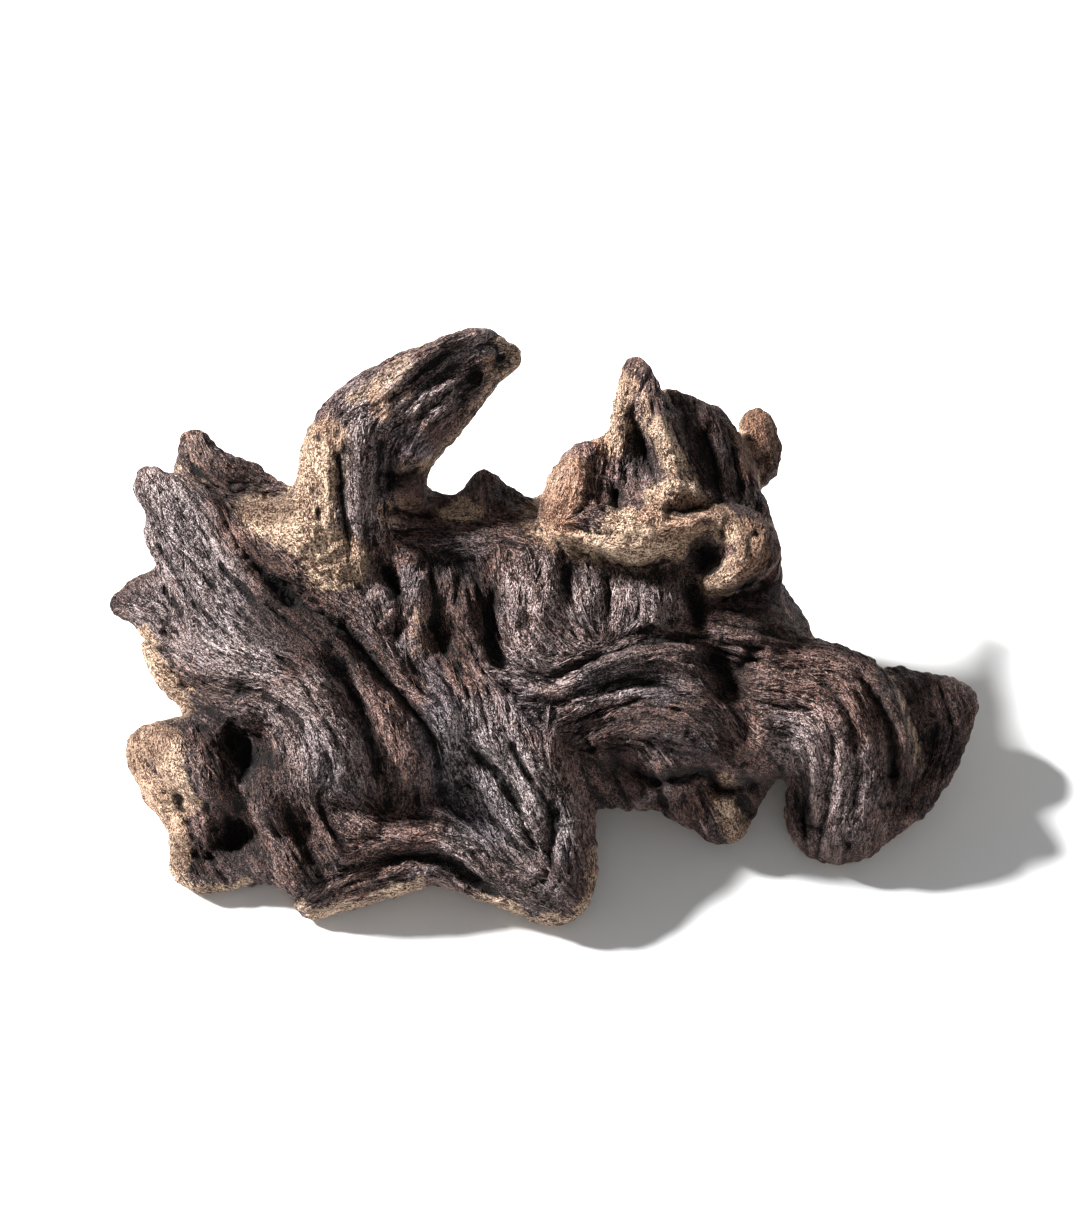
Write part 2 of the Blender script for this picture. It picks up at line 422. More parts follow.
# Where each tone lies on the seen face, with amount from 0 to 1.
TONE_STROKES: dict[Tone, tuple[Stroke, ...]] = {
    Tone.TAN: strokes(
        (1.0, 13, (-111, 240), (-114, 222), (-116, 205), (-110, 190), (-102, 180)),
        (1.0, 12, (-139, 206), (-122, 199), (-106, 188), (-97, 180)),
        (0.55, 4, (-94, 264), (-80, 272), (-66, 280)),
        (0.5, 5, (-74, 264), (-66, 266)),
        (0.6, 6, (-17, 290), (-10, 284), (-14, 276)),
        (0.6, 5, (-66, 226), (-52, 232), (-42, 243), (-28, 257), (-17, 270)),
        (0.9, 5, (-46, 205), (-34, 209)),
        (0.5, 6, (-75, 205), (-66, 210)),
        (1.0, 8, (4, 198), (16, 192), (32, 187), (50, 185), (64, 188), (76, 197)),
        (0.9, 9, (38, 200), (52, 198), (64, 200)),
        (0.7, 12, (2, 204), (7, 214), (14, 226)),
        (0.9, 8, (90, 200), (104, 194), (106, 184), (98, 177), (88, 171)),
        (0.7, 4, (-26, 281), (-24, 275), (-25, 268)),
        (0.6, 4, (-82, 266), (-77, 256)),
        (0.85, 7, (43, 270), (38, 256), (36, 242)),
        (0.5, 6, (52, 262), (50, 250)),
        (0.75, 7, (60, 250), (66, 236), (70, 222)),
        (0.85, 7, (60, 214), (72, 213), (86, 206)),
        (1.0, 11, (108, 252), (108, 241)),
        (0.6, 6, (114, 234), (104, 231)),
        (1.0, 7, (-200, 141), (-191, 125), (-181, 108)),
        (0.95, 10, (-196, 96), (-205, 86), (-202, 74), (-194, 62), (-187, 48), (-184, 32)),
        (0.75, 9, (-189, 92), (-185, 76), (-180, 62)),
        (0.7, 4, (-182, 24), (-168, 18), (-148, 20)),
        (0.6, 4, (-120, 10), (-112, 2), (-100, 7), (-80, 13), (-60, 19)),
        (0.6, 4, (-32, 13), (-12, 5), (2, 1), (18, 3), (27, 14), (29, 36)),
        (0.8, 7, (91, 68), (94, 58), (98, 48)),
        (0.3, 9, (-180, 240), (-172, 226)),
        (0.35, 6, (188, 98), (192, 82), (196, 72)),
        (0.4, 8, (-60, 152), (-60, 140)),
    ),
    Tone.RED: strokes(
        (0.45, 18, (132, 120), (150, 108), (158, 84)),
        (0.4, 12, (-120, 60), (-110, 42), (-96, 36)),
        (0.9, 20, (-12, 172), (4, 166), (20, 160)),
        (0.5, 12, (-20, 150), (-2, 146), (16, 140)),
        (1.0, 13, (22, 232), (18, 218), (12, 208)),
        (0.6, 9, (60, 205), (70, 200), (80, 205)),
        (0.5, 8, (-64, 148), (-58, 130)),
        (0.4, 9, (-110, 256), (-100, 250), (-92, 240)),
        (0.45, 9, (-86, 200), (-88, 216), (-88, 232)),
        (0.4, 10, (-195, 70), (-182, 56)),
        (0.4, 8, (-76, 112), (-70, 92)),
        (0.5, 7, (-64, 206), (-66, 216)),
        (0.5, 10, (50, 276), (54, 266)),
        (1.0, 14, (108, 250), (110, 236)),
        (0.8, 9, (112, 200), (116, 188), (106, 176)),
        (0.4, 9, (-66, 240), (-50, 250), (-36, 262)),
        (0.5, 9, (-192, 94), (-202, 84), (-198, 66)),
        (0.65, 12, (-74, 256), (-52, 268), (-34, 276)),
        (0.6, 9, (84, 66), (78, 56)),
        (0.35, 12, (60, 158), (72, 150)),
        (0.35, 10, (140, 60), (142, 42)),
    ),
    Tone.BLUE: strokes(
        (0.9, 16, (-46, 98), (-38, 76), (-26, 54)),
        (0.6, 8, (28, 120), (46, 122), (62, 118)),
        (0.6, 6, (-66, 142), (-52, 122), (-42, 110)),
        (0.7, 7, (-66, 246), (-60, 238)),
        (0.7, 7, (-26, 290), (-20, 286)),
        (0.6, 5, (-52, 276), (-60, 266)),
        (0.7, 5, (10, 62), (12, 46), (12, 34)),
        (0.5, 9, (-112, 92), (-106, 76)),
        (0.5, 8, (62, 92), (78, 88)),
        (0.6, 5, (-18, 157), (-12, 155)),
        (0.5, 7, (-34, 184), (-44, 190)),
        (0.5, 7, (-72, 166), (-64, 172)),
        (0.5, 10, (-10, 112), (2, 104)),
        (0.5, 7, (48, 260), (46, 266)),
    ),
    Tone.PALE: strokes(
        (1.0, 17, (-190, 210), (-170, 178), (-156, 152), (-144, 136)),
        (0.7, 14, (-192, 158), (-168, 140), (-150, 130)),
        (0.5, 14, (-110, 112), (-98, 90), (-96, 72)),
        (1.0, 20, (-32, 92), (-14, 72), (-2, 52)),
        (0.7, 18, (-10, 140), (12, 132), (30, 126)),
        (0.5, 12, (-40, 36), (-20, 26), (0, 14)),
        (0.55, 16, (128, 96), (146, 78), (146, 52)),
        (0.4, 8, (-78, 176), (-84, 160)),
        (0.9, 12, (-90, 244), (-90, 224), (-88, 204)),
        (1.0, 14, (-84, 256), (-66, 262), (-48, 272), (-30, 282)),
        (0.7, 16, (36, 160), (56, 160)),
        (0.6, 14, (-128, 108), (-116, 92), (-112, 74)),
        (0.3, 10, (40, 136), (60, 136), (76, 128)),
        (0.5, 12, (18, 228), (14, 214)),
        (1.0, 18, (-4, 170), (22, 162)),
    ),
    Tone.DARK: strokes(
        (0.85, 18, (182, 116), (200, 104), (200, 88), (186, 72)),
        (1.0, 15, (78, 256), (90, 238), (98, 214)),
        (0.9, 9, (-143, 184), (-124, 165), (-104, 148), (-84, 130)),
        (1.0, 15, (-136, 154), (-120, 150), (-104, 142)),
        (0.6, 11, (110, 196), (114, 186), (104, 176)),
        (0.7, 13, (110, 250), (110, 236)),
        (0.65, 16, (38, 134), (60, 132), (78, 122)),
        (0.45, 14, (-16, 32), (0, 24), (16, 26)),
        (0.8, 14, (42, 98), (62, 98), (84, 92)),
        (0.8, 5, (40, 81), (52, 75), (62, 72), (74, 76), (84, 77), (89, 68), (98, 68), (110, 70)),
        (0.7, 9, (106, 70), (112, 58), (106, 46)),
        (0.7, 8, (-168, 118), (-182, 104), (-188, 98)),
        (0.75, 6, (8, 184), (26, 177), (46, 174), (66, 176)),
        (0.7, 8, (-65, 206), (-36, 182), (-25, 168), (-26, 139)),
        (0.5, 8, (96, 48), (84, 50), (60, 58)),
        (0.6, 9, (-24, 190), (-14, 186), (-4, 184)),
        (0.6, 7, (92, 132), (100, 118), (104, 106)),
        (0.85, 11, (-174, 36), (-162, 34), (-148, 36)),
        (0.85, 8, (116, 206), (119, 192), (114, 178)),
        (1.0, 6, (86, 160), (97, 165), (108, 169), (119, 170)),
        (0.8, 6, (96, 212), (108, 208), (120, 204)),
        (0.45, 14, (-200, 90), (-186, 110), (-164, 112)),
        (0.5, 15, (-150, 84), (-128, 62), (-112, 40)),
        (0.5, 14, (128, 66), (124, 48), (140, 30), (160, 40)),
        (0.9, 13, (96, 160), (110, 158), (120, 146)),
        (0.8, 9, (112, 238), (106, 230)),
        (0.8, 10, (-166, 222), (-150, 214), (-132, 210)),
        (0.75, 14, (-44, 174), (-34, 154), (-48, 142)),
        (0.8, 9, (-16, 214), (-8, 206)),
        (0.8, 12, (86, 160), (102, 164), (112, 158)),
        (0.6, 9, (24, 88), (36, 82), (44, 70)),
        (0.7, 9, (82, 142), (92, 128), (100, 112)),
        (0.95, 12, (-160, 94), (-148, 88), (-138, 76)),
        (0.5, 7, (-152, 62), (-152, 42)),
        (0.5, 8, (-56, 182), (-42, 178), (-30, 170)),
        (0.6, 6, (56, 230), (52, 240)),
        (0.6, 9, (106, 70), (112, 60)),
        (0.7, 8, (-70, 226), (-60, 222), (-52, 216)),
        (0.4, 5, (-56, 285), (-40, 296), (-26, 300)),
        (0.5, 7, (-100, 182), (-92, 178)),
    ),
}


@dataclass(frozen=True)
class LeaningFace:
    """The plane that the root's seen face leans in, and the eye in front of it."""

    elevation: float = math.radians(55.0)
    eye_distance: float = 1300.0
    middle_v: float = 155.75
    floor: float = -28.5
    origin_x: float = 4.3
    origin_y: float = 131.5

    @property
    def lean(self) -> np.ndarray:
        """Rows that give u, v and w from x, y and z."""
        sine, cosine = math.sin(self.elevation), math.cos(self.elevation)
        return np.array(((1, 0, 0), (0, sine, cosine), (0, -cosine, sine)))

    @property
    def origin(self) -> tuple[float, float, float]:
        """Where the row frame's origin is, as the face counts it."""
        return self.origin_x, self.origin_y, self.floor

    def to_face(self, points: np.ndarray) -> np.ndarray:
        """Gives points of the row frame on the face.

        Args:
            points: Millimetre points (x, y, z).

        Returns:
            Millimetre points (u, v, w), where u and v are as the eye sees them.
        """
        flat = (points + self.origin) @ self.lean.T
        nearness = 1.0 - flat[:, 2] / self.eye_distance
        flat[:, 0] /= nearness
        flat[:, 1] = self.middle_v + (flat[:, 1] - self.middle_v) / nearness
        return flat

    def to_row(self, points: np.ndarray) -> np.ndarray:
        """Gives points of the face in the row frame.

        Args:
            points: Millimetre points (u, v, w).

        Returns:
            Millimetre points (x, y, z).
        """
        flat = np.array(points, float)
        nearness = 1.0 - flat[:, 2] / self.eye_distance
        flat[:, 0] *= nearness
        flat[:, 1] = self.middle_v + (flat[:, 1] - self.middle_v) * nearness
        return flat @ self.lean - self.origin

    def towards_eye(self, directions: np.ndarray) -> np.ndarray:
        """How much each direction (x, y, z) points at the eye, from -1 to 1."""
        return directions @ self.lean[2]

    def eye(self) -> Vector:
        """The eye's place in the row frame, in metres."""
        flat = np.array((0.0, self.middle_v, self.eye_distance))
        return Vector((flat @ self.lean - self.origin) * MM)


def smooth_path(knots: Path, step: float) -> np.ndarray:
    """Reads points off a smooth curve through the knots.

    Args:
        knots: The points (u, v) that the curve passes through.
        step: The rough distance between the points returned.

    Returns:
        The points, one row each.
    """
    given = np.asarray(knots, float)
    padded = np.vstack((2 * given[0] - given[1], given, 2 * given[-1] - given[-2]))
    found = []
    for before, start, end, after in zip(padded, padded[1:], padded[2:], padded[3:]):
        count = max(1, int(np.linalg.norm(end - start) / step))
        bend = 2 * before - 5 * start + 4 * end - after
        twist = 3 * start - before - 3 * end + after
        t = np.arange(count)[:, None] / count
        found.append(0.5 * (2 * start + (end - before) * t + bend * t**2 + twist * t**3))
    return np.vstack(found + [given[-1:]])


def smoothstep(low: float, high: float, value: np.ndarray) -> np.ndarray:
    """0 below low, 1 above high and smooth between; low may be the larger."""
    t = np.clip((value - low) / (high - low), 0.0, 1.0)
    return t * t * (3.0 - 2.0 * t)


def furrowed(streak: np.ndarray) -> np.ndarray:
    """Turns even waves into round strands with narrow furrows between them."""
    return np.abs(streak) ** 0.7 - 0.8


def layered(height: np.ndarray, layer: float) -> np.ndarray:
    """Turns even waves into flat layers with broken edges, each one layer thick."""
    count = np.floor(height / layer)
    return layer * (count + smoothstep(0.62, 0.88, height / layer - count))


def gap_to(points: np.ndarray, path: np.ndarray) -> tuple[np.ndarray, np.ndarray]:
    """Measures how far points lie from a path.

    Args:
        points: Points (u, v).
        path: The path's points.

    Returns:
        The distance of each point, and its share of the way along the path.
    """
    nearest = np.full(len(points), np.inf)
    share = np.zeros(len(points))
    steps = np.diff(path, axis=0)
    lengths = np.linalg.norm(steps, axis=1)
    before = np.concatenate(([0.0], np.cumsum(lengths)))
    for start, step, length, run in zip(path, steps, lengths, before):
        t = np.clip(((points - start) @ step) / length**2, 0.0, 1.0)
        gap = np.linalg.norm(points - start - t[:, None] * step, axis=1)
        closer = gap < nearest
        nearest[closer] = gap[closer]
        share[closer] = (run + t[closer] * length) / before[-1]
    return nearest, share


def reached(flat: np.ndarray, path: np.ndarray, reach: float) -> np.ndarray:
    """Finds the points that a stroke may touch.

    Args:
        flat: Points (u, v).
        path: The stroke's path.
        reach: How far beyond its path the stroke may go.

    Returns:
        True for each point inside the box around the path.
    """
    return ((flat > path.min(axis=0) - reach) & (flat < path.max(axis=0) + reach)).all(axis=1)


def unit(directions: np.ndarray) -> np.ndarray:
    """Gives directions, on the last axis, a length of 1."""
    return directions / (np.linalg.norm(directions, axis=-1)[..., None] + 1e-9)


def held_numbers(items: bpy.types.bpy_prop_collection, name: str, width: int, kind: type) -> np.ndarray:
    """Reads one property of all items of a mesh.

    Args:
        items: The mesh's points, edges, corners or faces, or an attribute's values.
        name: The property's name.
        width: How many numbers an item has.
        kind: The numbers' type.

    Returns:
        One row an item, or one number an item where the width is 1.
    """
    values = np.empty(len(items) * width, kind)
    items.foreach_get(name, values)
    return values.reshape(-1, width) if width > 1 else values


def placed(name: str, data: bpy.types.ID) -> bpy.types.Object:
    """Puts a new object with the given name and data in the scene."""
    piece = bpy.data.objects.new(name, data)
    bpy.context.scene.collection.objects.link(piece)
    return piece


def built(name: str, points: np.ndarray, faces: np.ndarray) -> bpy.types.Object:
    """Builds a smooth mesh object.

    Args:
        name: The object's name.
        points: Its millimetre points.
        faces: The numbers of each face's points.

    Returns:
        The object, in the scene.
    """
    mesh = bpy.data.meshes.new(name)
    mesh.from_pydata((points * MM).tolist(), [], faces.tolist())
    mesh.shade_smooth()
    return placed(name, mesh)


@dataclass
class FibreField:
    """The run of the wood's fibres over the face, and streaks that follow it."""

    lines: tuple[Path, ...] = FIBRE_LINES
    spacing: float = 4.0
    low: Span = (-240.0, -24.0)
    size: tuple[int, int] = (121, 90)
    softness: float = 5.0
    fall_off: float = 1.6
    dots_side: int = 128
    dot_step: float = 0.6
    doubled: np.ndarray = field(init=False)

    def __post_init__(self) -> None:
        """Works out the fibres' doubled angle on a grid over the face."""
        places, turns = [], []
        for line in self.lines:
            path = smooth_path(line, self.spacing)
            ahead = np.gradient(path, axis=0)
            angle = 2.0 * np.arctan2(ahead[:, 1], ahead[:, 0])
            places.append(path)
            turns.append(np.column_stack((np.cos(angle), np.sin(angle))))
        across, up = (
            low + self.spacing * np.arange(count) for low, count in zip(self.low, self.size))
        grid = np.stack(np.meshgrid(across, up, indexing="ij"), axis=-1).reshape(-1, 2)
        gap = ((grid[:, None, :] - np.vstack(places)[None, :, :]) ** 2).sum(axis=2)
        weight = (gap + self.softness**2) ** -self.fall_off
        self.doubled = (weight @ np.vstack(turns)).reshape(*self.size, 2)

    def direction(self, points: np.ndarray) -> np.ndarray:
        """Reads the fibres' direction.

        Args:
            points: Points (u, v).

        Returns:
            The unit direction (u, v) at each point.
        """
        scaled = np.clip((points - self.low) / self.spacing, 0.0, np.array(self.size) - 1.001)
        low = scaled.astype(int)
        part = scaled - low
        total = np.zeros((len(points), 2))
        for i, j in ((0, 0), (1, 0), (0, 1), (1, 1)):
            weight = (part[:, 0] if i else 1 - part[:, 0]) * (part[:, 1] if j else 1 - part[:, 1])
            total += weight[:, None] * self.doubled[low[:, 0] + i, low[:, 1] + j]
        angle = 0.5 * np.arctan2(total[:, 1], total[:, 0])
        return np.column_stack((np.cos(angle), np.sin(angle)))

    def onward(self, points: np.ndarray, ahead: np.ndarray) -> np.ndarray:
        """Reads the fibres' direction for someone who walks along them.

        Args:
            points: Points (u, v).
            ahead: The direction (u, v) that each walker came in.

        Returns:
            The unit direction (u, v) at each point, with no turning back.
        """
        turn = self.direction(points)
        return turn * np.sign((turn * ahead).sum(axis=1) + 1e-9)[:, None]

    def streaks(self, points: np.ndarray, grain: Grain) -> np.ndarray:
        """Smears random dots along the fibres.

        Args:
            points: Points (u, v).
            grain: The streaks' width, length and seed.

        Returns:
            The streaks' height at each point, with mean 0 and deviation 1.
        """
        dots = np.random.default_rng(grain.seed).uniform(-1.0, 1.0, (self.dots_side, self.dots_side))
        step = self.dot_step * grain.width
        count = max(2, int(0.5 * grain.length / step))
        total = self._dots_at(dots, points / grain.width)
        for sign in (1.0, -1.0):
            place = points
            ahead = sign * self.direction(points)
            for _ in range(count):
                place = place + step * ahead
                ahead = self.onward(place, ahead)
                total += self._dots_at(dots, place / grain.width)
        total -= total.mean()
        return total / total.std()

    @staticmethod
    def _dots_at(dots: np.ndarray, scaled: np.ndarray) -> np.ndarray:
        """Reads the dots between their places.

        Args:
            dots: The dots, on a square that repeats.
            scaled: Where to read, counted in dots.

        Returns:
            The value at each place.
        """
        side = len(dots)
        low = np.floor(scaled).astype(int)
        part = scaled - low
        low %= side
        high = (low + 1) % side
        return (
            dots[low[:, 0], low[:, 1]] * (1 - part[:, 0]) * (1 - part[:, 1])
            + dots[high[:, 0], low[:, 1]] * part[:, 0] * (1 - part[:, 1])
            + dots[low[:, 0], high[:, 1]] * (1 - part[:, 0]) * part[:, 1]
            + dots[high[:, 0], high[:, 1]] * part[:, 0] * part[:, 1]
        )


class Skin:
    """A mesh object's points, normals and edges as arrays, in millimetres."""

    def __init__(self, piece: bpy.types.Object) -> None:
        """Reads the arrays from the piece.

        Args:
            piece: The mesh object.
        """
        self.piece = piece
        self.read()

    def read(self) -> None:
        """Reads the arrays from the mesh again."""
        mesh = self.piece.data
        self.points = held_numbers(mesh.vertices, "co", 3, np.float32).astype(float) / MM
        self.normals = held_numbers(mesh.vertices, "normal", 3, np.float32).astype(float)
        self.edges = held_numbers(mesh.edges, "vertices", 2, np.int32)
        self.degree = np.bincount(self.edges.ravel(), minlength=len(self.points))

    def move_to(self, points: np.ndarray) -> None:
        """Moves the mesh's points, and reads its normals again.

        Args:
            points: The new millimetre points.
        """
        self.piece.data.vertices.foreach_set("co", (points * MM).astype(np.float32).ravel())
        self.piece.data.update()
        self.read()

    def quads(self) -> np.ndarray:
        """Reads the numbers of each face's four points."""
        return held_numbers(self.piece.data.loops, "vertex_index", 1, np.int32).reshape(-1, 4)

    def spread(self, values: np.ndarray, rounds: int) -> np.ndarray:
        """Averages values with those of the points beside them.

        Args:
            values: One value a point.
            rounds: How many times over.

        Returns:
            The smoother values.
        """
        first, second = self.edges.T
        for _ in range(rounds):
            total = np.bincount(first, values[second], len(values))
            total += np.bincount(second, values[first], len(values))
            values = 0.5 * values + 0.5 * total / self.degree
        return values

    def sunken(self, rounds: int) -> np.ndarray:
        """Measures how deep the skin lies below its own smoother form.

        Args:
            rounds: How smooth that form is.

        Returns:
            The depth in millimetres, which is negative on a ridge.
        """
        smooth = np.column_stack([self.spread(self.points[:, axis], rounds) for axis in range(3)])
        return ((smooth - self.points) * self.normals).sum(axis=1)

    def take(self, name: str) -> np.ndarray:
        """Reads a named attribute.

        Args:
            name: Its name.

        Returns:
            One value or one vector a point.
        """
        held = self.piece.data.attributes[name]
        if held.data_type == "FLOAT_VECTOR":
            return held_numbers(held.data, "vector", 3, np.float32)
        return held_numbers(held.data, "value", 1, np.float32)

    def write(self, name: str, values: np.ndarray) -> None:
        """Stores a named attribute.

        Args:
            name: Its name.
            values: One value or one vector a point.
        """
        single = values.ndim == 1
        held = self.piece.data.attributes.new(name, "FLOAT" if single else "FLOAT_VECTOR", "POINT")
        held.data.foreach_set("value" if single else "vector", values.astype(np.float32).ravel())


@dataclass
class RootSkin:
    """The root's fine skin: its creases, fibres, pits and tones. Heights are in millimetres."""

    face: LeaningFace
    fibres: FibreField
    voxel: float = 1.08
    weld: float = 0.001
    softening: float = 0.5
    soft_rounds: int = 5
    piece_triangles: int = 185000
    cells_from: float = -400.0
    seen_cell: float = 2.5
    seen_depth: float = 14.0
    seen_rounds: int = 8
    carved_facing: Span = (0.05, 0.45)
    painted_facing: Span = (-0.35, 0.0)
    grained_facing: Span = (0.15, 0.6)
    cut_step: float = 4.0
    # How far a stroke reaches from its path, in widths and then in millimetres more.
    cut_reach: Span = (2.5, 2.0)
    cut_stray: float = 0.25
    widest_stray: float = 4.0
    cut_ends: float = 0.25
    end_depth: float = 0.2
    cut_sharpness: float = 1.5
    cut_wander: tuple[Blobs, ...] = (Blobs(7.0, 3, 1.3), Blobs(3.5, 4))
    tone_step: float = 5.0
    tone_reach: Span = (1.6, 6.0)
    # Where a tone starts to show and where it is full, in widths from its stroke's path.
    tone_fade: Span = (1.45, 0.6)
    tone_edge: tuple[Blobs, ...] = (Blobs(9.0, 31, 3.0), Blobs(4.0, 32, 2.0))
    grains: tuple[Grain, ...] = (
        Grain(6.5, 80.0, 11, 2.0), Grain(3.3, 36.0, 12, 1.25), Grain(1.8, 12.0, 13, 0.6))
    swell: Blobs = Blobs(26.0, 14, 0.55)
    least_swell: float = 0.75
    wave_grain: Grain = Grain(9.0, 45.0, 15, 1.5)
    wave: Blobs = Blobs(13.0, 16, 2.2)
    fleck_grain: Grain = Grain(2.0, 14.0, 51)
    layer: float = 1.5
    layer_share: float = 0.55
    worn_flat: float = 0.75
    lump: Blobs = Blobs(15.0, 21)
    small_lump: Blobs = Blobs(8.0, 22, 2.0)
    small_lump_share: float = 0.7
    # A pair of shares says how strong a form is at least, and what is added to that where the
    # skin faces the eye (for lumps) or is bare (for knobs and speckle).
    lump_height: float = 0.9
    lump_shares: Span = (1.0, -0.4)
    knob: Blobs = Blobs(4.6, 25, 2.0)
    small_knob: Blobs = Blobs(3.0, 26, 0.6)
    knob_height: float = 0.7
    knob_shares: Span = (0.45, 0.55)
    speckle: tuple[Blobs, ...] = (Blobs(2.2, 23), Blobs(3.4, 24, 0.8))
    speckle_height: float = 0.3
    speckle_shares: Span = (0.7, 0.5)
    lift: float = 0.5
    floor_rise: Span = (0.3, 3.0)
    hollow_rounds: int = 30
    deep_rounds: int = 160
    patches: tuple[Blobs, ...] = (Blobs(42.0, 40), Blobs(17.0, 41, 0.8))
    patch_sink: float = 0.45
    back_tan: Span = (-1.2, 0.4)
    back_red: Span = (0.3, -0.6)
    back_dark: Span = (-0.5, -1.6)
    back_share: float = 0.5

    def build(self, node: bpy.types.Object) -> bpy.types.Object:
        """Makes the whole fine skin over a frame node.

        Args:
            node: The frame's own solid, which isn't changed.

        Returns:
            The new skin, which is split before it is shown.
        """
        piece = placed("whole_skin", node.data.copy())
        piece.data.materials.clear()
        self._refine(piece)
        skin = Skin(piece)
        self._carve(skin)
        self._roughen(skin)
        LOG.info("carved skin: %d points", len(skin.points))
        self._paint(skin)
        return piece

    def split(self, whole: bpy.types.Object) -> list[bpy.types.Object]:
        """Splits the skin from left to right into pieces that aren't too heavy.

        Args:
            whole: The whole skin, which is taken away.

        Returns:
            The pieces, whose shading runs on across the seams.
        """
        skin = Skin(whole)
        faces = skin.quads()
        middle = self.face.to_face(skin.points)[faces, 0].mean(axis=1)
        count = math.ceil(2 * len(faces) / self.piece_triangles)
        limits = np.quantile(middle, np.linspace(0.0, 1.0, count + 1))
        limits[-1] += 1.0
        pieces = []
        for number in range(count):
            held = faces[(middle >= limits[number]) & (middle < limits[number + 1])]
            used, again = np.unique(held, return_inverse=True)
            piece = built(f"root_wood_{number + 1}", skin.points[used], again.reshape(-1, 4))
            piece.data.normals_split_custom_set_from_vertices(skin.normals[used].tolist())
            made = Skin(piece)
            for name in (*SURFACE_VALUES, *RUN_VALUES):
                made.write(name, skin.take(name)[used])
            LOG.info("split off %s: %d triangles", piece.name, 2 * len(held))
            pieces.append(piece)
        bpy.data.objects.remove(whole)
        return pieces

    def _refine(self, piece: bpy.types.Object) -> None:
        """Joins the frame's facets, rounds them and gives the skin small even faces.

        Args:
            piece: The copy of the frame's solid.
        """
        facets = bmesh.new()
        facets.from_mesh(piece.data)
        bmesh.ops.remove_doubles(facets, verts=facets.verts, dist=self.weld * MM)
        facets.to_mesh(piece.data)
        facets.free()
        round_off = piece.modifiers.new("round_off", "SUBSURF")
        round_off.levels = round_off.render_levels = 1
        remesh = piece.modifiers.new("even_faces", "REMESH")
        remesh.mode = "VOXEL"
        remesh.voxel_size = self.voxel * MM
        smooth = piece.modifiers.new("soften", "SMOOTH")
        smooth.factor = self.softening
        smooth.iterations = self.soft_rounds
        graph = bpy.context.evaluated_depsgraph_get()
        baked = bpy.data.meshes.new_from_object(piece.evaluated_get(graph))
        piece.modifiers.clear()
        piece.data = baked

    def _seen(self, skin: Skin, face: np.ndarray, facing: Span) -> np.ndarray:
        """How much of each point the eye sees.

        Args:
            skin: The skin.
            face: Its points on the face.
            facing: How much the skin faces the eye where it starts to count as seen, and where it
                is fully seen.

        Returns:
            1 where the skin is the first that the eye meets, and 0 where it is hidden.
        """
        cells = np.floor((face[:, :2] - self.cells_from) / self.seen_cell).astype(int)
        front = np.full(cells.max(axis=0) + 1, -np.inf)
        np.maximum.at(front, (cells[:, 0], cells[:, 1]), face[:, 2])
        behind = front[cells[:, 0], cells[:, 1]] - face[:, 2]
        share = smoothstep(self.seen_depth, 0.5 * self.seen_depth, behind)
        share *= smoothstep(*facing, self.face.towards_eye(skin.normals))
        return skin.spread(share, self.seen_rounds)

    def _carve(self, skin: Skin) -> None:
        """Cuts the creases and hollows and raises the ridges of the seen face.

        Args:
            skin: The skin, whose points move towards the eye and away from it.
        """
        face = self.face.to_face(skin.points)
        face[:, 2] += self._seen(skin, face, self.carved_facing) * self._cut(skin, face)
        skin.move_to(self.face.to_row(face))

    def _cut(self, skin: Skin, face: np.ndarray) -> np.ndarray:
        """How far the strokes move each point of the skin.

        Args:
            skin: The skin.
            face: Its points on the face.

        Returns:
            The height in millimetres, which is negative in a crease.
        """
        height = np.zeros(len(face))
        wander = clouds(self.cut_wander, skin.points)
        for stroke in FORMS + CREASES:
            path = smooth_path(stroke.path, self.cut_step)
            near = reached(face[:, :2], path, self.cut_reach[0] * stroke.width + self.cut_reach[1])
            gap, share = gap_to(face[near, :2], path)
            gap = np.abs(gap + self.cut_stray * min(stroke.width, self.widest_stray) * wander[near])
            ends = smoothstep(0.0, self.cut_ends, share) * smoothstep(1.0, 1.0 - self.cut_ends, share)
            fall = np.exp(-((gap / stroke.width) ** self.cut_sharpness))
            height[near] += stroke.amount * fall * (self.end_depth + (1.0 - self.end_depth) * ends)
        return height

    def _roughen(self, skin: Skin) -> None:
        """Raises the fibres, strands, lumps and speckle of weathered wood all over.

        Args:
            skin: The skin, whose points move along its normals.
        """
        face = self.face.to_face(skin.points)
        facing = np.abs(self.face.towards_eye(skin.normals))
        head_on = skin.spread(smoothstep(*self.grained_facing, facing), 2)
        tan = self._laid(skin, face, TONE_STROKES[Tone.TAN])
        bare = np.maximum(tan, 1.0 - head_on)
        waves = self.wave_grain.height * self.fibres.streaks(face[:, :2], self.wave_grain)
        waves += self.wave.at(skin.points)
        along = self._strands(skin, face) + self.layer_share * layered(waves, self.layer)
        lumps = self.small_lump_share * furrowed(self.small_lump.at(skin.points))
        lumps = self.lump.at(skin.points) + lumps
        knobs = furrowed(self.knob.at(skin.points)) + self.small_knob.at(skin.points)
        speckle = clouds(self.speckle, skin.points)
        height = self.lift + head_on * (1.0 - self.worn_flat * tan) * along
        for form, most, shares, where in (
            (lumps, self.lump_height, self.lump_shares, head_on),
            (knobs, self.knob_height, self.knob_shares, bare),
            (speckle, self.speckle_height, self.speckle_shares, bare),
        ):
            height += (shares[0] + shares[1] * where) * most * form
        height *= smoothstep(*self.floor_rise, skin.points[:, 2])
        moved = skin.points + skin.normals * height[:, None]
        moved[:, 2] = np.maximum(moved[:, 2], 0.0)
        skin.move_to(moved)

